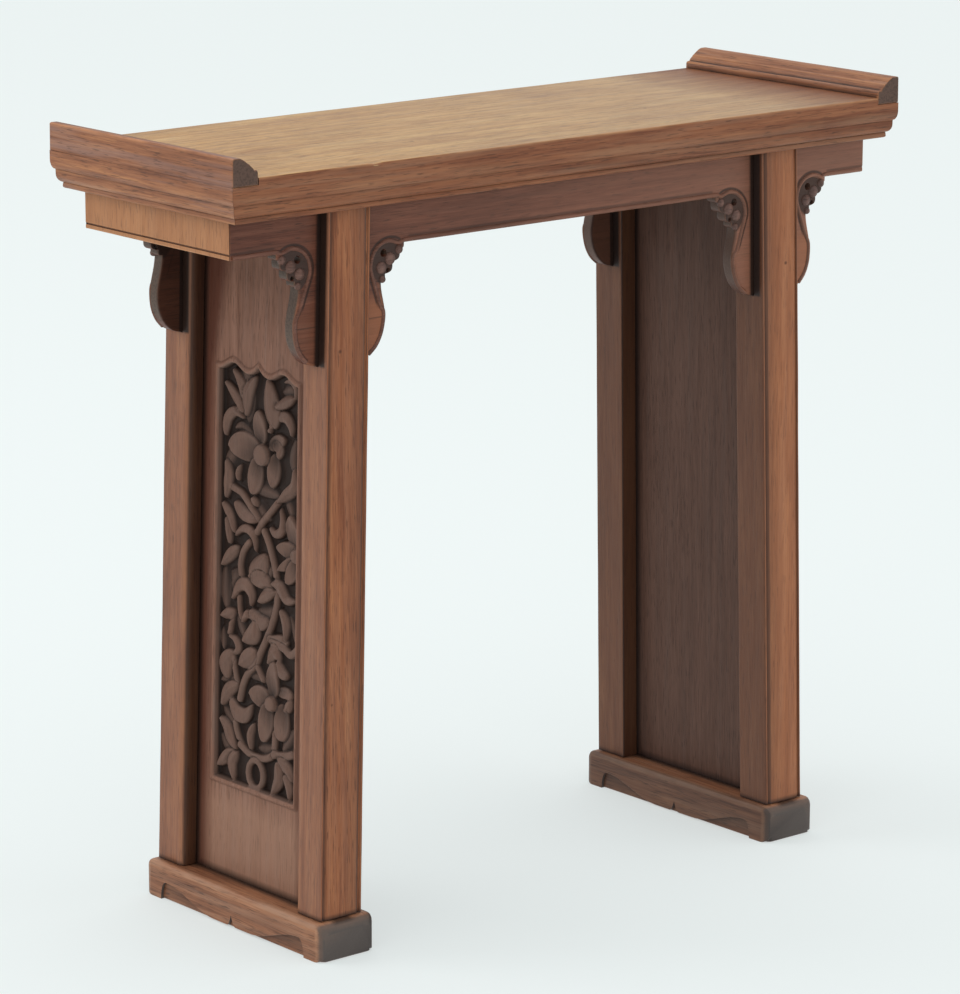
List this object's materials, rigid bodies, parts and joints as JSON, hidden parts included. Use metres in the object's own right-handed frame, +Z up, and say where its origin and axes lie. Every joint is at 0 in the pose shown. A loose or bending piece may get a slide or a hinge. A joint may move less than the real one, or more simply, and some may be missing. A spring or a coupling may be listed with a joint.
{
  "type": "painting table",
  "caption": "Small hardwood table with everted end flanges, recessed splayed legs, scrolled spandrels and carved end panels standing on sledge feet.",
  "frame": {"origin": "on the floor under the middle of the table", "axes": "+X along the table towards its right end, -Y towards the front, +Z up"},
  "size_m": [0.289, 0.098, 0.2673],
  "materials": {
    "top_wood": "worn satin oil finish, golden brown, grain along the table",
    "end_wood": "worn satin oil finish, red brown, grain across the table",
    "post_wood": "satin oil finish, red brown, upright grain",
    "apron_wood": "satin oil finish, dark brown, grain along the board",
    "panel_wood": "dull oil finish, dark brown, upright grain, carved",
    "foot_wood": "dull worn finish, brown with pale worn edges"
  },
  "bodies": {
    "root": {"top_plank": "top_wood", "left_end_cleat": "end_wood", "left_flange": "end_wood", "left_end_apron": "apron_wood", "left_end_panel": "panel_wood", "left_foot": "foot_wood", "front_left_post": "post_wood", "back_left_post": "post_wood", "right_end_cleat": "end_wood", "right_flange": "end_wood", "right_end_apron": "apron_wood", "right_end_panel": "panel_wood", "right_foot": "foot_wood", "front_right_post": "post_wood", "back_right_post": "post_wood", "front_apron": "apron_wood", "back_apron": "apron_wood"}
  },
  "joints": []
}
